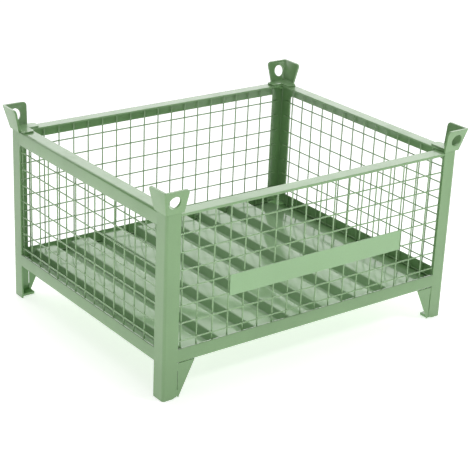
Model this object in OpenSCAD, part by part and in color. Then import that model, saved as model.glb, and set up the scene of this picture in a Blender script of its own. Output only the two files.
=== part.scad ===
// Wire mesh container: a low, welded, stackable steel box on four feet, with mesh walls,
// a corrugated floor and a flared stacking cup with a crane eye on each corner.
// Millimetres, +Z up. The origin is on the ground, at the middle of the footprint.
// X runs along the front wall, which faces -Y, and which carries the label plate.

/* [Overall] */
// Length of the front wall, over the posts
length = 1000; // [850:10:1200]
// Depth of the side walls, over the posts
width = 800; // [600:10:1000]
// Height of the rim, which is the top of the posts
rim_height = 525; // [425:5:800]
// Clearance under the bottom rails
clearance = 102; // [80:1:120]

/* [Posts and rails] */
// Leg of the corner post angle
post_leg = 45; // [40:1:48]
// Leg of the rail angles
rail_leg = 40; // [35:1:45]
// Thickness of posts, rails and corner plates
wall = 5; // [4:0.5:6]
// Outer bend radius of the posts
post_bend = 8; // [7:1:10]
// Outer bend radius of the rails
rail_bend = 6.5; // [6.5:0.5:8]
// How far the front bar stops short of the right corner, along its outer edge
bar_mitre = 89; // [80:1:100]

/* [Mesh] */
// Wire diameter
wire_d = 4; // [3:0.5:5]
// Mesh pitch, both ways
mesh_pitch = 50; // [40:5:60]
// Gap between the end of a wire and the outer face of the wall round the corner
mesh_edge = 22; // [20:1:28]
// Sideways offset of the front panel and of the label plate
front_shift = 9; // [0:1:10]
// Sideways offset of the left panel
left_shift = 8; // [0:1:10]
// Sideways offset of the right panel
right_shift = -17; // [-18:1:0]

/* [Floor] */
// Pitch of the floor ridges
ridge_pitch = 120; // [100:5:140]
// Width of a ridge top
ridge_top = 66; // [50:1:70]
// Width of a ridge's sloping side, seen from above
ridge_side = 9; // [6:1:12]
// Height of a ridge
ridge_rise = 26; // [15:1:30]
// Thickness of the floor sheet
sheet_t = 2; // [1.5:0.5:3]
// Sideways offset of the ridges
ridge_shift = -40; // [-50:1:50]
// How far each end of the floor sheet laps onto a side rail
sheet_lap = 5; // [2:1:20]

/* [Feet] */
// Width of the foot gusset at the rail, from the outer corner
gusset_top = 100; // [90:1:110]
// Width of the foot gusset at the ground, from the outer corner
gusset_foot = 53; // [51:1:60]
// Length and depth of the foot plate, from the outer corner
foot_plate_size = [48, 34]; // [30:1:50]
// Thickness of the foot plate
foot_plate_t = 8; // [6:1:10]

/* [Stacking cups] */
// Height of a cup above the rim
cup_rise = 66; // [50:1:80]
// Thickness of the cup plates
cup_t = 6; // [5:0.5:8]
// Outward lean of the cup plates, in degrees
cup_lean = 13; // [8:1:16]
// Width of a cup plate at its base, from the post's outer corner
cup_base_w = 50; // [45:1:55]
// Width of a cup plate at its top, from the post's outer corner
cup_top_w = 57; // [54:1:62]
// Diameter of the crane eye
eye_d = 36; // [25:1:38]
// Length of each arm of the plate under a cup
cup_foot_arm = 70; // [60:1:80]

/* [Label plate] */
// Width of the label plate
label_w = 602; // [300:1:700]
// Height of the label plate
label_h = 60; // [40:1:80]
// Height of the middle of the label plate above the ground
label_z = 285; // [200:1:330]

/* [Hidden] */
$fn = 48;
wire_fn = 16;
half_l = length / 2;
half_w = width / 2;
// Post: the cut at the foot of its front leg
post_cut = [12, 7];
// Rails
flange_z = rim_height - wall;
bar_z = flange_z - wall;
bar_d = rail_leg;
corner_clear = post_bend - wall;
// Foot gusset: thinner than the post, set back, and clear of it along a slot
gusset_t = 4;
gusset_back = 1;
gusset_slot = 2.5;
gusset_weld = [24, clearance - 22];
gusset_land = 6;
// Cup: its outer face stands proud of the post at the base, where it is cut off level
cup_proud = 4;
cup_corner = 12;
cup_heel = 5;
cup_sink = 2;
cup_slope = cup_rise / cos(cup_lean);
eye_from_corner = 16;
eye_up = 34;
cup_foot_t = 5;
cup_foot_in = cup_t / cos(cup_lean) - cup_proud;
cup_foot_w = 35;
cup_foot_tip = 10;
// Mesh: the level wires lie on the posts' inner faces, the uprights on the level wires
level_in = wall + wire_d / 2;
upright_in = wall + 1.5 * wire_d;
level_first = clearance + 2 * wall;
level_count = floor((bar_z - wire_d / 2 - level_first) / mesh_pitch) + 1;
upright_low = clearance + wall;
upright_high = bar_z;
// Floor sheet: it rests on the rails' lower flanges, inside the mesh
sheet_in = wall + 2 * wire_d + 1;
sheet_l = length - 2 * (rail_leg - sheet_lap);
sheet_w = width - 2 * sheet_in;
ridge_foot = ridge_top + 2 * ridge_side;
ridge_count = floor((sheet_l - 2 * abs(ridge_shift) - ridge_foot) / ridge_pitch) + 1;
label_t = 1.5;
// Paint
frame_green = [0.60, 0.71, 0.57];
plate_green = [0.64, 0.74, 0.61];
mesh_green = [0.66, 0.78, 0.62];
floor_green = [0.55, 0.67, 0.54];
label_green = [0.70, 0.79, 0.67];

// Places a corner part. It is drawn with the outer corner at the origin, and with the
// container on its +X, +Y side, as at the front left corner.
module at_corner(right, back) {
    mirror([right, 0, 0])
        mirror([0, back, 0])
            translate([-half_l, -half_w, 0])
                children();
}

// Places a wall part. It is drawn along X, centred, with the wall's outer face at Y = 0
// and the inside of the container on its +Y side.
module at_front() {
    translate([0, -half_w, 0])
        children();
}

module at_back() {
    mirror([0, 1, 0])
        at_front()
            children();
}

module at_left() {
    translate([-half_l, 0, 0])
        mirror([1, -1, 0])
            children();
}

module at_right() {
    mirror([1, 0, 0])
        at_left()
            children();
}

// A rectangle with one round corner, at the origin
module one_round_corner(size, r) {
    difference() {
        square(size);
        difference() {
            square(r);
            translate([r, r])
                circle(r = r);
        }
    }
}

// The section of an angle, with its outer bend at the origin
module angle_section(leg, bend) {
    difference() {
        one_round_corner([leg, leg], bend);
        translate([wall, wall])
            one_round_corner([leg, leg], bend - wall);
    }
}

// The points of a rounded corner at p, between its neighbours a and b
function unit(v) = v / norm(v);
function round_corner(a, p, b, r, steps = 8) =
    let (
        u = unit(a - p),
        v = unit(b - p),
        half = acos(u * v) / 2,
        centre = p + unit(u + v) * r / sin(half),
        start = p + u * r / tan(half) - centre,
        turn = (u[0] * v[1] - u[1] * v[0]) > 0 ? -1 : 1,
        sweep = turn * (180 - 2 * half)
    )
    [for (i = [0 : steps])
        let (t = sweep * i / steps)
        centre + [start[0] * cos(t) - start[1] * sin(t), start[0] * sin(t) + start[1] * cos(t)]
    ];

// Corner post, with the foot of its front leg cut back
module post() {
    color(frame_green)
        difference() {
            linear_extrude(rim_height)
                angle_section(post_leg, post_bend);
            translate([0, wall * 1.5, 0])
                rotate([90, 0, 0])
                    linear_extrude(wall * 2)
                        polygon([
                            [post_leg - post_cut[0], -1],
                            [post_leg - post_cut[0], 0],
                            [post_leg, post_cut[1]],
                            [post_leg + 1, post_cut[1]],
                            [post_leg + 1, -1]
                        ]);
        }
}

// Trapezoid plate that widens the foot, welded to the post above and below a slot
module foot_gusset() {
    edge = post_leg;
    color(frame_green)
        translate([0, gusset_back + gusset_t, 0])
            rotate([90, 0, 0])
                linear_extrude(gusset_t)
                    polygon([
                        [edge, post_cut[1]],
                        [gusset_foot - 2, 0],
                        [gusset_foot, gusset_land],
                        [gusset_top, clearance],
                        [edge, clearance],
                        [edge, gusset_weld[1]],
                        [edge + gusset_slot, gusset_weld[1]],
                        [edge + gusset_slot, gusset_weld[0]],
                        [edge, gusset_weld[0]]
                    ]);
}

// Level plate that closes the foot, inside the post
module foot_plate() {
    color(plate_green)
        linear_extrude(foot_plate_t)
            polygon([
                [wall + corner_clear, wall],
                [foot_plate_size[0], wall],
                [foot_plate_size[0], foot_plate_size[1]],
                [wall, foot_plate_size[1]],
                [wall, wall + corner_clear]
            ]);
}

// Bottom rail: an upright outer flange, and a lower flange turned in under the floor
module bottom_rail(span) {
    clear_span = span - 2 * post_leg;
    color(frame_green)
        translate([-clear_span / 2, 0, clearance])
            rotate([90, 0, 90])
                linear_extrude(clear_span)
                    angle_section(rail_leg, rail_bend);
}

// Top rail: an outer flange that hangs between the posts, and a level flange on top,
// which runs on over the corner plates by the given length
module top_rail(span, overrun) {
    clear_span = span - 2 * post_leg;
    run = clear_span / 2 + overrun;
    notch = max(0, overrun - (post_leg - wall - corner_clear));
    right_end = notch > 0 ? [[run - notch, wall], [run, wall + notch]] : [[run, wall]];
    left_end = notch > 0 ? [[-run, wall + notch], [-run + notch, wall]] : [[-run, wall]];
    color(frame_green)
        union() {
            translate([-clear_span / 2, 0, rim_height])
                rotate([90, 0, 90])
                    linear_extrude(clear_span)
                        mirror([0, 1])
                            angle_section(rail_leg, rail_bend);
            translate([0, 0, flange_z])
                linear_extrude(wall)
                    polygon(concat(right_end, [[run, rail_leg], [-run, rail_leg]], left_end));
        }
}

// Front bar: a level flat, mitred at its right end
module front_top_bar() {
    color(plate_green)
        at_front()
            translate([0, 0, bar_z])
                linear_extrude(wall)
                    polygon([
                        [-half_l + post_leg, 0],
                        [half_l - bar_mitre, 0],
                        [half_l - bar_mitre + bar_d, bar_d],
                        [-half_l + post_leg, bar_d]
                    ]);
}

// Level plate in the top of a post. At the front right it reaches out to the mitred bar.
module corner_plate(reach) {
    inner = bar_mitre - post_leg;
    color(plate_green)
        translate([0, 0, bar_z])
            linear_extrude(wall)
                union() {
                    polygon([
                        [wall + corner_clear, wall],
                        [post_leg, wall],
                        [post_leg, inner],
                        [wall, inner],
                        [wall, wall + corner_clear]
                    ]);
                    if (reach) {
                        polygon([
                            [post_leg, 0],
                            [bar_mitre, 0],
                            [post_leg, inner]
                        ]);
                    }
                }
}

// Plate that lies on the rim and carries a cup, with an arm along the side rail and, at
// the back, a second arm along the back rail
module cup_foot(second_arm) {
    low = cup_foot_in;
    high = cup_foot_in + cup_foot_w;
    tip = low + cup_foot_arm;
    inside = [high, high];
    side_arm = concat(
        round_corner(inside, [high, tip], [low, tip], cup_foot_tip),
        round_corner([high, tip], [low, tip], [low, low], cup_foot_tip)
    );
    back_arm = [for (i = [len(side_arm) - 1 : -1 : 0]) [side_arm[i][1], side_arm[i][0]]];
    color(plate_green)
        translate([0, 0, rim_height])
            linear_extrude(cup_foot_t)
                polygon(concat(
                    [[low, low]],
                    second_arm ? concat(back_arm, [inside]) : [[high, low]],
                    side_arm
                ));
}

// One leaning plate of a cup, along X, long enough to be mitred at the crease
module cup_plate(eye) {
    beyond = -cup_proud - cup_rise * tan(cup_lean) - cup_t;
    crease_foot = [beyond, -cup_sink];
    crease_head = [beyond, cup_slope];
    free_head = [cup_top_w, cup_slope];
    free_foot = [cup_base_w, -cup_sink];
    translate([0, -cup_proud, rim_height])
        rotate([cup_lean, 0, 0])
            rotate([90, 0, 0])
                mirror([0, 0, 1])
                    difference() {
                        linear_extrude(cup_t)
                            polygon(concat(
                                [crease_foot, crease_head],
                                round_corner(crease_head, free_head, free_foot, cup_corner),
                                round_corner(free_head, free_foot, crease_foot, cup_heel)
                            ));
                        if (eye) {
                            translate([eye_from_corner, eye_up, -1])
                                cylinder(d = eye_d, h = cup_t + 2);
                        }
                    }
}

// One half of a cup: a plate cut off level at its foot and head, and mitred at the crease
module cup_half(eye) {
    reach = 2 * post_leg;
    intersection() {
        cup_plate(eye);
        translate([0, 0, rim_height])
            linear_extrude(cup_rise)
                polygon([[-reach, -reach], [reach, -reach], [reach, reach]]);
    }
}

// Stacking cup: two plates that meet at a crease, with the crane eye in the first
module stacking_cup() {
    color(plate_green)
        union() {
            cup_half(true);
            mirror([1, -1, 0])
                cup_half(false);
        }
}

// Number of uprights each side of a panel's middle one
function uprights_each_side(span, shift) =
    floor((span / 2 - mesh_edge - abs(shift)) / mesh_pitch);

// Upright wires of one wall
module mesh_uprights(span, shift) {
    each_side = uprights_each_side(span, shift);
    color(mesh_green)
        for (i = [-each_side : each_side])
            translate([shift + i * mesh_pitch, upright_in, upright_low])
                cylinder(d = wire_d, h = upright_high - upright_low, $fn = wire_fn);
}

// Level wires of one wall
module mesh_levels(span) {
    wire_l = span - 2 * mesh_edge;
    color(mesh_green)
        for (i = [0 : level_count - 1])
            translate([-wire_l / 2, level_in, level_first + i * mesh_pitch])
                rotate([0, 90, 0])
                    cylinder(d = wire_d, h = wire_l, $fn = wire_fn);
}

// The points of one ridge's outline, at height z and moved out sideways
function ridge_points(middle, z, out) = [
    [middle - ridge_foot / 2 + out, z],
    [middle - ridge_top / 2 + out, z + ridge_rise],
    [middle + ridge_top / 2 - out, z + ridge_rise],
    [middle + ridge_foot / 2 - out, z]
];

// One face of the floor sheet, from left to right
function sheet_face(z, out) = concat(
    [[-sheet_l / 2, z]],
    [for (i = [0 : ridge_count - 1])
        let (middle = ridge_shift + (i - (ridge_count - 1) / 2) * ridge_pitch)
        each ridge_points(middle, z, out)
    ],
    [[sheet_l / 2, z]]
);

// Floor: one corrugated sheet, its ridges running from front to back
module floor_sheet() {
    side_angle = atan(ridge_rise / ridge_side);
    thinning = sheet_t * tan(side_angle / 2);
    upper = sheet_face(sheet_t, 0);
    lower = sheet_face(0, thinning);
    color(floor_green)
        translate([0, sheet_w / 2, clearance + wall])
            rotate([90, 0, 0])
                linear_extrude(sheet_w)
                    polygon(concat(upper, [for (i = [len(lower) - 1 : -1 : 0]) lower[i]]));
}

// Label plate: a plain sheet on the outside of the front mesh
module label_plate() {
    color(label_green)
        at_front()
            translate([front_shift - label_w / 2, wall - label_t, label_z - label_h / 2])
                cube([label_w, label_t, label_h]);
}

at_corner(0, 0) post();  // front_left_post
at_corner(1, 0) post();  // front_right_post
at_corner(0, 1) post();  // back_left_post
at_corner(1, 1) post();  // back_right_post

at_corner(0, 0) foot_gusset();  // front_left_foot_gusset
at_corner(1, 0) foot_gusset();  // front_right_foot_gusset
at_corner(0, 1) foot_gusset();  // back_left_foot_gusset
at_corner(1, 1) foot_gusset();  // back_right_foot_gusset

at_corner(0, 0) foot_plate();  // front_left_foot_plate
at_corner(1, 0) foot_plate();  // front_right_foot_plate
at_corner(0, 1) foot_plate();  // back_left_foot_plate
at_corner(1, 1) foot_plate();  // back_right_foot_plate

at_front() bottom_rail(length);  // front_bottom_rail
at_back() bottom_rail(length);  // back_bottom_rail
at_left() bottom_rail(width);  // left_bottom_rail
at_right() bottom_rail(width);  // right_bottom_rail

front_top_bar();
at_back() top_rail(length, post_leg - rail_leg);  // back_top_rail
at_left() top_rail(width, post_leg - wall);  // left_top_rail
at_right() top_rail(width, post_leg - wall);  // right_top_rail

at_corner(0, 0) corner_plate(false);  // front_left_corner_plate
at_corner(1, 0) corner_plate(true);  // front_right_corner_plate
at_corner(0, 1) corner_plate(false);  // back_left_corner_plate
at_corner(1, 1) corner_plate(false);  // back_right_corner_plate

at_corner(0, 0) cup_foot(false);  // front_left_cup_foot
at_corner(1, 0) cup_foot(false);  // front_right_cup_foot
at_corner(0, 1) cup_foot(true);  // back_left_cup_foot
at_corner(1, 1) cup_foot(true);  // back_right_cup_foot

at_corner(0, 0) stacking_cup();  // front_left_stacking_cup
at_corner(1, 0) stacking_cup();  // front_right_stacking_cup
at_corner(0, 1) stacking_cup();  // back_left_stacking_cup
at_corner(1, 1) stacking_cup();  // back_right_stacking_cup

at_front() mesh_uprights(length, front_shift);  // front_mesh_uprights
at_front() mesh_levels(length);  // front_mesh_levels
at_back() mesh_uprights(length, 0);  // back_mesh_uprights
at_back() mesh_levels(length);  // back_mesh_levels
at_left() mesh_uprights(width, left_shift);  // left_mesh_uprights
at_left() mesh_levels(width);  // left_mesh_levels
at_right() mesh_uprights(width, right_shift);  // right_mesh_uprights
at_right() mesh_levels(width);  // right_mesh_levels

floor_sheet();
label_plate();
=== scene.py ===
import math
import random

import bmesh
import bpy
from mathutils import Matrix, Vector, noise


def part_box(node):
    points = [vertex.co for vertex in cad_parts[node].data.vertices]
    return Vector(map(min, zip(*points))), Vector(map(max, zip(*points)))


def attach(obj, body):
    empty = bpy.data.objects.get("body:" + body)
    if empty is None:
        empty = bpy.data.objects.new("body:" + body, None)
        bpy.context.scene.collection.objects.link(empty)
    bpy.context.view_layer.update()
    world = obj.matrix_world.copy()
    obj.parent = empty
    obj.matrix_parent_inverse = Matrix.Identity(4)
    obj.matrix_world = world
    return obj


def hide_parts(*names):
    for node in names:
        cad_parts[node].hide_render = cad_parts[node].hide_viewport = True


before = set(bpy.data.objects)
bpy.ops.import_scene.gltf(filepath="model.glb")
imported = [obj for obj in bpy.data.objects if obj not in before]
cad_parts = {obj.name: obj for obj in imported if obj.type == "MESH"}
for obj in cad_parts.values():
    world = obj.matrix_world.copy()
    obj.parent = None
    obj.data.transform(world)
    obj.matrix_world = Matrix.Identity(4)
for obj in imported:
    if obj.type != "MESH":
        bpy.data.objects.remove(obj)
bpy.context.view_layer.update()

BODY = "root"
MM = 0.001
UP = Vector((0, 0, 1))

# ---------------------------------------------------------------- sizes, from the frame

POST_LO, POST_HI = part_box("front_right_post")
HALF_L = POST_HI.x
HALF_W = -POST_LO.y
RIM = POST_HI.z
POST_LEG = POST_HI.x - POST_LO.x
PLATE_LO, PLATE_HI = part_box("back_left_corner_plate")
WALL = PLATE_HI.z - PLATE_LO.z
RAIL_LO, RAIL_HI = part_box("front_bottom_rail")
CLEARANCE = RAIL_LO.z
RAIL_LEG = RAIL_HI.z - RAIL_LO.z
LEVELS_LO, LEVELS_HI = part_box("front_mesh_levels")
WIRE_D = LEVELS_HI.y - LEVELS_LO.y
SHEET_LO, SHEET_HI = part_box("floor_sheet")
CUP_FOOT_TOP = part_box("back_left_cup_foot")[1].z
FOOT_PLATE_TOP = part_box("front_left_foot_plate")[1].z
SHEET_T = 2 * MM
# How far the sharp edges are rounded, and what counts as one
EASE = 0.8 * MM
SHARP_EDGE = math.radians(32)

# Each corner, and the sides of X and Y that it is on
CORNERS = {
    "front_left": (-1, -1),
    "front_right": (1, -1),
    "back_left": (-1, 1),
    "back_right": (1, 1),
}
# Each wall: the axis that it runs along, half its span, and the side that it is on
WALLS = {
    "front": (0, HALF_L, -1),
    "back": (0, HALF_L, 1),
    "left": (1, HALF_W, -1),
    "right": (1, HALF_W, 1),
}


def corner_point(corner, x, y, z):
    """A place given from a corner's outer edge, inwards along X and Y."""
    side_x, side_y = CORNERS[corner]
    return Vector((side_x * (HALF_L - x), side_y * (HALF_W - y), z))


def wall_point(wall, along, inward, z):
    """A place given along a wall from its middle, and inwards from its outer face."""
    axis, _, side = WALLS[wall]
    if axis == 0:
        return Vector((along, side * (HALF_W - inward), z))
    return Vector((side * (HALF_L - inward), along, z))


# ---------------------------------------------------------------- materials


class Surface:
    """A Principled material, with short ways to add the nodes that vary over its surface."""

    def __init__(self, name, **constants):
        self.material = bpy.data.materials.new(name)
        self.material.use_nodes = True
        self.tree = self.material.node_tree
        self.shader = self.tree.nodes["Principled BSDF"]
        for socket, value in constants.items():
            self.shader.inputs[socket.replace("_", " ")].default_value = value
        self.place = self.tree.nodes.new("ShaderNodeTexCoord").outputs["Object"]

    def noise(self, scale, detail=2.0, stretch=None):
        place = self.place
        if stretch is not None:
            mapping = self.tree.nodes.new("ShaderNodeMapping")
            mapping.inputs["Scale"].default_value = stretch
            self.tree.links.new(place, mapping.inputs["Vector"])
            place = mapping.outputs["Vector"]
        node = self.tree.nodes.new("ShaderNodeTexNoise")
        node.inputs["Scale"].default_value = scale
        node.inputs["Detail"].default_value = detail
        self.tree.links.new(place, node.inputs["Vector"])
        return node.outputs["Fac"]

    def ramp(self, fac, low, high, low_at=0.3, high_at=0.7):
        node = self.tree.nodes.new("ShaderNodeValToRGB")
        first, last = node.color_ramp.elements
        first.position, last.position = low_at, high_at
        first.color, last.color = rgba(low), rgba(high)
        self.tree.links.new(fac, node.inputs["Fac"])
        return node.outputs["Color"]

    def mix(self, a, b, fac, blend="MIX"):
        node = self.tree.nodes.new("ShaderNodeMix")
        node.data_type = "RGBA"
        node.blend_type = blend
        for name, value in (("Factor", fac), ("A", a), ("B", b)):
            socket = node.inputs[name]
            if isinstance(value, bpy.types.NodeSocket):
                self.tree.links.new(value, socket)
            else:
                socket.default_value = value if name == "Factor" else rgba(value)
        return node.outputs["Result"]

    def bump(self, height, strength, distance, under=None):
        node = self.tree.nodes.new("ShaderNodeBump")
        node.inputs["Strength"].default_value = strength
        node.inputs["Distance"].default_value = distance
        self.tree.links.new(height, node.inputs["Height"])
        if under is not None:
            self.tree.links.new(under, node.inputs["Normal"])
        return node.outputs["Normal"]

    def eased_edges(self):
        """1 on the edges that ease_edges marks, and 0 elsewhere."""
        node = self.tree.nodes.new("ShaderNodeAttribute")
        node.attribute_name = "eased"
        return node.outputs["Fac"]

    def set(self, socket, value):
        self.tree.links.new(value, self.shader.inputs[socket])


def rgba(value):
    return (value, value, value, 1) if isinstance(value, float) else (*value, 1)


def tinted(color, by):
    return tuple(min(1.0, c * by) for c in color)


def gloss_paint(name, color, gloss, coat, peel, drift=0.07):
    """Gloss paint on steel. Its colour drifts a little, its film has fine orange peel and a slow
    wave, it lies thinner and rougher on the edges, which are painted paler, partly for the thin paint
    and partly as a painted highlight, and it carries a few dull scuffs."""
    surface = Surface(name, IOR=1.5, Coat_Weight=coat, Coat_Roughness=0.05)
    slow = surface.noise(4.0, 3.0)
    color_drift = surface.ramp(slow, tinted(color, 1 - drift), tinted(color, 1 + drift))
    fine = surface.ramp(surface.noise(260.0, 3.0), 0.96, 1.0, 0.35, 0.6)
    body = surface.mix(color_drift, fine, 1.0, "MULTIPLY")

    edge_break = surface.ramp(surface.noise(90.0, 4.0), 0.0, 0.8, 0.42, 0.62)
    edge_wear_and_highlight = surface.mix(0.0, edge_break, surface.eased_edges())
    # The eased edges are painted paler: partly thin paint, partly a painted highlight.
    surface.set("Base Color", surface.mix(body, tinted(color, 1.35), edge_wear_and_highlight))

    scuffs = surface.ramp(surface.noise(16.0, 6.0, (1.0, 1.0, 0.35)), gloss, gloss + 0.16, 0.48, 0.72)
    surface.set("Roughness", surface.mix(scuffs, gloss + 0.22, edge_wear_and_highlight))

    wave = surface.bump(surface.noise(24.0, 1.0), 0.12, 1.0 * MM)
    surface.set("Normal", surface.bump(surface.noise(420.0, 2.0), peel, 0.12 * MM, wave))
    return surface.material


PAINTS = {
    "frame_paint": gloss_paint("frame_paint", (0.192, 0.362, 0.148), 0.34, 0.70, 0.20),
    "mesh_paint": gloss_paint("mesh_paint", (0.280, 0.460, 0.228), 0.22, 0.60, 0.10),
    "floor_paint": gloss_paint("floor_paint", (0.300, 0.465, 0.262), 0.08, 0.00, 0.02, 0.05),
    "label_paint": gloss_paint("label_paint", (0.315, 0.525, 0.270), 0.36, 0.15, 0.12, 0.03),
}

# ---------------------------------------------------------------- mesh helpers


def make_piece(name, bm, slot, replaces=()):
    """Turns a bmesh into a piece that rides on the container, in its slot's paint."""
    bmesh.ops.recalc_face_normals(bm, faces=bm.faces)
    mesh = bpy.data.meshes.new(name)
    bm.to_mesh(mesh)
    bm.free()
    for polygon in mesh.polygons:
        polygon.use_smooth = True
    mesh.materials.append(PAINTS[slot])
    piece = bpy.data.objects.new(name, mesh)
    bpy.context.scene.collection.objects.link(piece)
    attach(piece, BODY)
    if replaces:
        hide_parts(*replaces)
    return piece


def keep_flats_flat(piece):
    """Gives the shading normals to the large faces, so that only the eased edges look round."""
    piece.modifiers.new("flats", "WEIGHTED_NORMAL")
    return piece


def ease_edges(bm, width, keep_sharp=()):
    """Rounds each sharp edge and marks its faces for the paint. Edges in keep_sharp stay."""
    eased = bm.loops.layers.float_color.new("eased")
    for face in bm.faces:
        for loop in face.loops:
            loop[eased] = (0, 0, 0, 1)
    sharp = [
        edge
        for edge in bm.edges
        if edge.is_manifold and edge.calc_face_angle() > SHARP_EDGE and edge not in keep_sharp
    ]
    made = bmesh.ops.bevel(
        bm, geom=sharp, offset=width, offset_type="OFFSET", segments=2, profile=0.5,
        affect="EDGES", clamp_overlap=True,
    )
    for face in made["faces"]:
        for loop in face.loops:
            loop[eased] = (1, 1, 1, 1)


def cad_bmesh(node):
    """A CAD node's mesh with its flat faces whole."""
    bm = bmesh.new()
    bm.from_mesh(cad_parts[node].data)
    bmesh.ops.remove_doubles(bm, verts=bm.verts, dist=1e-6)
    bmesh.ops.dissolve_limit(bm, angle_limit=math.radians(0.4), verts=bm.verts, edges=bm.edges)
    return bm


def steel_copy(node, slot="frame_paint"):
    """A steel piece in its CAD node's shape, with its edges eased."""
    bm = cad_bmesh(node)
    ease_edges(bm, EASE)
    return keep_flats_flat(make_piece(f"{node}_steel", bm, slot, (node,)))


def ring_points(centre, side, other, radius_a, radius_b, count):
    """Points on an ellipse round a centre."""
    turns = (2 * math.pi * i / count for i in range(count))
    return [centre + side * (radius_a * math.cos(t)) + other * (radius_b * math.sin(t)) for t in turns]


def skin_rings(bm, rings):
    """Closes a row of rings of points into one solid."""
    rows = [[bm.verts.new(point) for point in ring] for ring in rings]
    count = len(rows[0])
    for lower, upper in zip(rows, rows[1:]):
        for i in range(count):
            j = (i + 1) % count
            bm.faces.new((lower[i], lower[j], upper[j], upper[i]))
    bm.faces.new(rows[0][::-1])
    bm.faces.new(rows[-1])


def skin_slab(bm, near, far):
    """Closes two matching outlines, near and far, into one solid."""
    skin_rings(bm, [near, far])


def add_wire(bm, start, end):
    """A round wire, with its sheared ends eased."""
    radius, chamfer = WIRE_D / 2, 0.4 * MM
    axis = (end - start).normalized()
    side = axis.orthogonal().normalized()
    other = axis.cross(side)
    # The third station at each end keeps the long run's shading straight
    stations = ((0, radius - chamfer), (chamfer, radius), (3 * chamfer, radius))
    near = [(start + axis * at, r) for at, r in stations]
    far = [(end - axis * at, r) for at, r in reversed(stations)]
    skin_rings(bm, [ring_points(at, side, other, r, r, 14) for at, r in near + far])


def add_dab(bm, centre, radii, detail=2):
    """A small rounded lump of weld metal."""
    place = Matrix.Translation(centre) @ Matrix.Diagonal((*radii, 1))
    bmesh.ops.create_icosphere(bm, subdivisions=detail, radius=1, matrix=place)


def add_bead(bm, start, end, outward, width, seed):
    """A rippled weld bead along the corner between two plates. It swells outward."""
    draw = random.Random(seed)
    run = end - start
    axis = run.normalized()
    up = (outward - axis * outward.dot(axis)).normalized()
    side = axis.cross(up)
    ripple = 1.8 * MM
    count = max(6, round(2.5 * run.length / ripple))
    rings = []
    for i in range(count + 1):
        t = i / count
        taper = math.sqrt(max(0.03, 1 - abs(2 * t - 1) ** 5))
        wave = 1 + 0.08 * math.sin(2 * math.pi * t * run.length / ripple) + draw.uniform(-0.05, 0.05)
        radius = width / 2 * taper * wave
        centre = start + run * t + side * (draw.uniform(-0.05, 0.05) * width)
        rings.append(ring_points(centre, side, up, radius, 0.6 * radius, 10))
    skin_rings(bm, rings)


# ---------------------------------------------------------------- frame


def build_rail(node, wall):
    """A rail, whose ends run on into the posts' eased edges, so that the ground joints are flush."""
    axis, half_span, _ = WALLS[wall]
    joint = half_span - POST_LEG
    near = 0.01 * MM
    bm = cad_bmesh(node)
    at_joint = {vertex for vertex in bm.verts if abs(abs(vertex.co[axis]) - joint) < near}
    keep = {edge for edge in bm.edges if edge.verts[0] in at_joint and edge.verts[1] in at_joint}
    ease_edges(bm, EASE, keep)
    for vertex in bm.verts:
        if abs(abs(vertex.co[axis]) - joint) < near:
            vertex.co[axis] += math.copysign(EASE, vertex.co[axis])
    keep_flats_flat(make_piece(f"{node}_steel", bm, "frame_paint", (node,)))


def build_window_fillets(wall):
    """The ground weld fillets in the upper corners of a side wall's window, flush with its face."""
    radius, steps = 11 * MM, 8
    top = RIM - RAIL_LEG
    bm = bmesh.new()
    for side in (-1, 1):
        post = side * (HALF_W - POST_LEG)
        outline = [(post + side * EASE, top - radius)]
        for i in range(steps + 1):
            turn = math.pi / 2 * i / steps
            along = post - side * radius * (1 - math.cos(turn))
            outline.append((along, top - radius * (1 - math.sin(turn))))
        outline.append((post - side * radius, top + EASE))
        outline.append((post + side * EASE, top + EASE))
        faces = [[wall_point(wall, a, depth, z) for a, z in outline] for depth in (0, WALL)]
        skin_slab(bm, *faces)
    keep_flats_flat(make_piece(f"{wall}_window_fillets", bm, "frame_paint"))


def build_cup(corner):
    """A stacking cup: two leaning plates bent softly into each other at the crease."""
    node = f"{corner}_stacking_cup"
    crease_ease, shortest_crease, near = 4.5 * MM, 20 * MM, 0.5 * MM
    bm = cad_bmesh(node)
    outer_edge = corner_point(corner, 0, 0, 0)
    crease = []
    for edge in bm.edges:
        start, end = (vertex.co - outer_edge for vertex in edge.verts)
        middle = (start + end) / 2
        on_diagonal = abs(abs(middle.x) - abs(middle.y)) < near
        if on_diagonal and abs(end.z - start.z) > shortest_crease:
            crease.append(edge)
    bmesh.ops.bevel(
        bm, geom=crease, offset=crease_ease, offset_type="OFFSET", segments=5, profile=0.5,
        affect="EDGES", clamp_overlap=True,
    )
    ease_edges(bm, EASE)
    keep_flats_flat(make_piece(f"{node}_steel", bm, "frame_paint", (node,)))


def build_frame():
    """The steel pieces: posts, rails, bar, feet, plates and cups."""
    for corner in CORNERS:
        for part in ("post", "foot_gusset", "foot_plate", "corner_plate", "cup_foot"):
            steel_copy(f"{corner}_{part}")
        build_cup(corner)
    for wall in WALLS:
        build_rail(f"{wall}_bottom_rail", wall)
        if wall != "front":
            build_rail(f"{wall}_top_rail", wall)
    steel_copy("front_top_bar")
    build_window_fillets("left")
    build_window_fillets("right")


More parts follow.
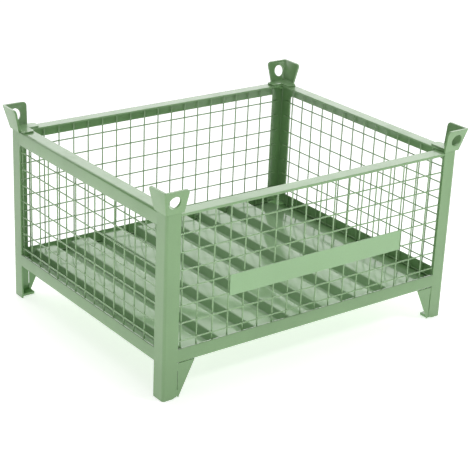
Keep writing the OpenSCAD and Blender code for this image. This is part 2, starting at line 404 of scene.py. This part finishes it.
def build_welds(corner, seed):
    """The weld beads of one corner. Each is given by its two ends from the corner's outer edges."""
    side_x, side_y = CORNERS[corner]
    inward = Vector((-side_x, -side_y, 0)).normalized()
    low, high = CLEARANCE + 9 * MM, CLEARANCE + RAIL_LEG - 3 * MM
    cup_side, cup_back = 36 * MM, 46 * MM
    arm_side, arm_start, arm_end = 37 * MM, 46 * MM, 60 * MM
    beads = [
        # Bottom rails to the post's two flanges, on the inside
        ((POST_LEG, WALL, low), (POST_LEG, WALL, high), inward, 5 * MM),
        ((WALL, POST_LEG, low), (WALL, POST_LEG, high), inward, 5 * MM),
        # Foot plate to the post
        ((13 * MM, WALL, FOOT_PLATE_TOP), (38 * MM, WALL, FOOT_PLATE_TOP), inward + UP, 5 * MM),
        ((WALL, 13 * MM, FOOT_PLATE_TOP), (WALL, 30 * MM, FOOT_PLATE_TOP), inward + UP, 5 * MM),
        # Gusset to the post's inner face, below and above its slot
        ((POST_LEG, WALL, 10 * MM), (POST_LEG, WALL, 22 * MM), inward, 4 * MM),
        ((POST_LEG, WALL, 82 * MM), (POST_LEG, WALL, CLEARANCE - 3 * MM), inward, 4 * MM),
        # Cup plates to the plate that they stand on
        ((7 * MM, 1.6 * MM, CUP_FOOT_TOP), (cup_side, 1.6 * MM, CUP_FOOT_TOP), inward + UP, 6 * MM),
        ((1.6 * MM, 7 * MM, CUP_FOOT_TOP), (1.6 * MM, cup_back, CUP_FOOT_TOP), inward + UP, 6 * MM),
        # The arm to the side rail
        ((arm_side, arm_start, RIM), (arm_side, arm_end, RIM), inward + UP, 4 * MM),
    ]
    if side_y > 0:
        beads.append(((arm_start, arm_side, RIM), (arm_end, arm_side, RIM), inward + UP, 4 * MM))
    bm = bmesh.new()
    for number, (start, end, outward, width) in enumerate(beads):
        start_at, end_at = corner_point(corner, *start), corner_point(corner, *end)
        add_bead(bm, start_at, end_at, outward, width, 100 * seed + number)
    # The heavier dabs at a cup's crease and towards the free end of its eye plate
    crease_foot = corner_point(corner, 4 * MM, 4 * MM, CUP_FOOT_TOP + 1 * MM)
    plate_end = corner_point(corner, cup_side - 3 * MM, 2.5 * MM, CUP_FOOT_TOP)
    add_dab(bm, crease_foot, (4.5 * MM, 4.5 * MM, 3.5 * MM))
    add_dab(bm, plate_end, (5 * MM, 3 * MM, 2.6 * MM))
    make_piece(f"{corner}_welds", bm, "frame_paint")


# ---------------------------------------------------------------- mesh walls


def wire_middles(node, axis):
    """Where a node's wires lie along an axis: the middle of each run of points."""
    middles, run = [], []
    for value in sorted(v.co[axis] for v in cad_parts[node].data.vertices):
        if run and value - run[0] > 2 * WIRE_D:
            middles.append((run[0] + run[-1]) / 2)
            run = []
        run.append(value)
    middles.append((run[0] + run[-1]) / 2)
    return middles


def across(axis, along, through, upward):
    """Three sizes given along a wall, through it and upward, as X, Y and Z."""
    return (along, through, upward) if axis == 0 else (through, along, upward)


def build_mesh(wall):
    """A wall's level and upright wires, the small weld at each crossing and those on the posts."""
    axis, half_span, _ = WALLS[wall]
    upright_node, level_node = f"{wall}_mesh_uprights", f"{wall}_mesh_levels"
    uprights, levels = wire_middles(upright_node, axis), wire_middles(level_node, 2)
    low, high = (corner.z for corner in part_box(upright_node))
    first, last = (corner[axis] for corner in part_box(level_node))
    level_in = WALL + WIRE_D / 2
    upright_in = level_in + WIRE_D
    crossing_size = across(axis, 1.9 * MM, 1.1 * MM, 1.9 * MM)
    post_weld_size = across(axis, 3.2 * MM, 2.0 * MM, 3.4 * MM)
    post_weld_steps = (7 * MM, 16 * MM)
    post_weld_in = WALL + 0.8 * MM

    bm = bmesh.new()
    for along in uprights:
        add_wire(bm, wall_point(wall, along, upright_in, low), wall_point(wall, along, upright_in, high))
    make_piece(f"{upright_node}_wires", bm, "mesh_paint", (upright_node,))

    bm = bmesh.new()
    for z in levels:
        add_wire(bm, wall_point(wall, first, level_in, z), wall_point(wall, last, level_in, z))
    make_piece(f"{level_node}_wires", bm, "mesh_paint", (level_node,))

    bm = bmesh.new()
    for along in uprights:
        for z in levels:
            centre = wall_point(wall, along, level_in + WIRE_D / 2, z)
            add_dab(bm, centre, crossing_size, detail=1)
    for z in levels:
        for side in (-1, 1):
            for step in post_weld_steps:
                along = side * (half_span - POST_LEG + step)
                add_dab(bm, wall_point(wall, along, post_weld_in, z), post_weld_size)
    make_piece(f"{wall}_mesh_welds", bm, "mesh_paint")


# ---------------------------------------------------------------- floor sheet


def round_bends(points, radius, steps=6):
    """Replaces each bend of an open outline with a curve that leaves it at the same distance."""
    made = [points[0]]
    for a, p, b in zip(points, points[1:], points[2:]):
        into, out = (a - p).normalized(), (b - p).normalized()
        reach = min(radius / math.tan(into.angle(out) / 2), (a - p).length * 0.48, (b - p).length * 0.48)
        for i in range(steps + 1):
            t = i / steps
            made.append(p + into * (reach * (1 - t) ** 2) + out * (reach * t * t))
    made.append(points[-1])
    return made


def sheet_outline():
    """The sheet's upper face from left to right, as (x, z) points with rounded bends."""
    heights = (SHEET_HI.z, SHEET_LO.z + SHEET_T)
    bend = 6 * MM
    found = set()
    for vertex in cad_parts["floor_sheet"].data.vertices:
        if any(abs(vertex.co.z - height) < 0.01 * MM for height in heights):
            found.add((round(vertex.co.x, 6), round(vertex.co.z, 6)))
    return round_bends([Vector(point) for point in sorted(found)], bend)


def build_floor():
    """The corrugated sheet, of one thickness, with rounded bends and slightly uneven flats."""
    upper = sheet_outline()
    count, fade_rows = 60, 5
    last = len(upper) - 1
    unevenness = 0.1 * MM
    bm = bmesh.new()
    top, under = [], []
    for j in range(count + 1):
        y = SHEET_LO.y + (SHEET_HI.y - SHEET_LO.y) * j / count
        fade = min(1.0, j / fade_rows, (count - j) / fade_rows)
        top_row, under_row = [], []
        for i, point in enumerate(upper):
            run = upper[min(last, i + 1)] - upper[max(0, i - 1)]
            down = Vector((run.y, -run.x)).normalized() * SHEET_T
            dip = fade * unevenness * (noise.noise(Vector((point.x * 8, y * 4, 3.0))) - 0.6)
            top_row.append(bm.verts.new((point.x, y, point.y + dip)))
            low_z = max(SHEET_LO.z, point.y + down.y + dip)
            under_row.append(bm.verts.new((point.x + down.x, y, low_z)))
        top.append(top_row)
        under.append(under_row)
    for j in range(count):
        for i in range(last):
            bm.faces.new((top[j][i], top[j][i + 1], top[j + 1][i + 1], top[j + 1][i]))
            bm.faces.new((under[j][i], under[j + 1][i], under[j + 1][i + 1], under[j][i + 1]))
        for end in (0, last):
            bm.faces.new((top[j][end], top[j + 1][end], under[j + 1][end], under[j][end]))
    for row in (0, count):
        for i in range(last):
            bm.faces.new((top[row][i], top[row][i + 1], under[row][i + 1], under[row][i]))
    piece = make_piece("floor_sheet_pressed", bm, "floor_paint", ("floor_sheet",))
    # The cut edges stay crisp, so that their shading doesn't run on over the faces
    piece.data.set_sharp_from_angle(angle=math.radians(50))


# ---------------------------------------------------------------- label plate


def build_label():
    """A plain thin plate with small round corners, left blank."""
    low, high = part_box("label_plate")
    radius, steps = 3 * MM, 5
    outline = []
    for quarter, (side_x, side_z) in enumerate(((1, 1), (-1, 1), (-1, -1), (1, -1))):
        x = (high.x if side_x > 0 else low.x) - side_x * radius
        z = (high.z if side_z > 0 else low.z) - side_z * radius
        for i in range(steps + 1):
            turn = math.pi / 2 * (quarter + i / steps)
            outline.append((x + radius * math.cos(turn), z + radius * math.sin(turn)))
    bm = bmesh.new()
    skin_slab(bm, *[[Vector((x, y, z)) for x, z in outline] for y in (low.y, high.y)])
    ease_edges(bm, 0.4 * MM)
    keep_flats_flat(make_piece("label_plate_blank", bm, "label_paint", ("label_plate",)))


# ---------------------------------------------------------------- studio


def build_world():
    """A bright sweep behind the object and a dimmer room in front, plain white to the camera."""
    bright_side = Vector((0.55, 0.80, 0.25)).normalized()
    dim, bright, seen_by_camera = 0.12, 1.8, 1.0
    dim_below, bright_above = 0.25, 0.95
    world = bpy.data.worlds.new("studio")
    world.use_nodes = True
    nodes, links = world.node_tree.nodes, world.node_tree.links
    background = nodes["Background"]
    direction = nodes.new("ShaderNodeTexCoord").outputs["Generated"]
    toward_back = nodes.new("ShaderNodeVectorMath")
    toward_back.operation = "DOT_PRODUCT"
    toward_back.inputs[1].default_value = bright_side
    links.new(direction, toward_back.inputs[0])
    spread = nodes.new("ShaderNodeMapRange")
    spread.interpolation_type = "SMOOTHSTEP"
    spread.inputs["From Min"].default_value = dim_below
    spread.inputs["From Max"].default_value = bright_above
    spread.inputs["To Min"].default_value = dim
    spread.inputs["To Max"].default_value = bright
    links.new(toward_back.outputs["Value"], spread.inputs["Value"])
    seen = nodes.new("ShaderNodeLightPath").outputs["Is Camera Ray"]
    strength = nodes.new("ShaderNodeMix")
    links.new(seen, strength.inputs[0])
    links.new(spread.outputs["Result"], strength.inputs[2])
    strength.inputs[3].default_value = seen_by_camera
    links.new(strength.outputs[0], background.inputs["Strength"])
    background.inputs["Color"].default_value = (1, 1, 1, 1)
    bpy.context.scene.world = world


def add_softbox(name, place, size, power, color=(1, 1, 1)):
    """A soft area light that faces the object and that the camera doesn't see."""
    light = bpy.data.lights.new(name, "AREA")
    light.shape = "RECTANGLE"
    light.size, light.size_y = size
    light.energy = power
    light.color = color
    lamp = bpy.data.objects.new(name, light)
    lamp.location = place
    object_middle = Vector((0, 0, 0.3))
    aim = object_middle - Vector(place)
    lamp.rotation_euler = aim.to_track_quat("-Z", "Y").to_euler()
    lamp.visible_camera = False
    bpy.context.scene.collection.objects.link(lamp)


def build_floor_plane():
    """The plain pale studio floor."""
    reach = 40.0
    mesh = bpy.data.meshes.new("studio_floor")
    corners = [(-reach, -reach, 0), (reach, -reach, 0), (reach, reach, 0), (-reach, reach, 0)]
    mesh.from_pydata(corners, [], [(0, 1, 2, 3)])
    floor = bpy.data.objects.new("studio_floor", mesh)
    bpy.context.scene.collection.objects.link(floor)
    surface = Surface("studio_floor", Roughness=0.9, Emission_Color=(1, 1, 1, 1), Emission_Strength=0.60)
    surface.set("Base Color", surface.ramp(surface.noise(3.0), 0.88, 0.90))
    mesh.materials.append(surface.material)


def build_camera():
    """The camera, at the photograph's angle. Its yaw is its turn from +Y towards +X, in radians."""
    place = Vector((-2.3303, -3.0666, 1.8085))
    yaw, tilt, roll = 0.6541, -0.3899, 0.0432
    data = bpy.data.cameras.new("camera")
    data.sensor_width = 36
    data.lens = 108.0
    level = Vector((math.sin(yaw), math.cos(yaw), 0))
    right = Vector((math.cos(yaw), -math.sin(yaw), 0))
    look = level * math.cos(tilt) + UP * math.sin(tilt)
    up = UP * math.cos(tilt) - level * math.sin(tilt)
    rolled_right = right * math.cos(roll) + up * math.sin(roll)
    rolled_up = up * math.cos(roll) - right * math.sin(roll)
    turn = Matrix((rolled_right, rolled_up, -look)).transposed().to_4x4()
    camera = bpy.data.objects.new("camera", data)
    camera.matrix_world = Matrix.Translation(place) @ turn
    bpy.context.scene.collection.objects.link(camera)
    bpy.context.scene.camera = camera


build_camera()
build_world()
build_floor_plane()
add_softbox("overhead", (-0.3, 0.3, 3.0), (2.6, 2.2), 15)
add_softbox("left_fill", (-2.1, -0.5, 0.7), (1.6, 0.9), 5, (1.0, 0.95, 0.98))
add_softbox("front_fill", (0.0, -2.3, 0.9), (1.8, 0.9), 6)
add_softbox("key", (0.9, -1.9, 2.4), (0.6, 0.6), 16)
bpy.context.scene.view_settings.view_transform = "Standard"

build_frame()
for index, corner_name in enumerate(CORNERS):
    build_welds(corner_name, index)
for wall_name in WALLS:
    build_mesh(wall_name)
build_floor()
build_label()
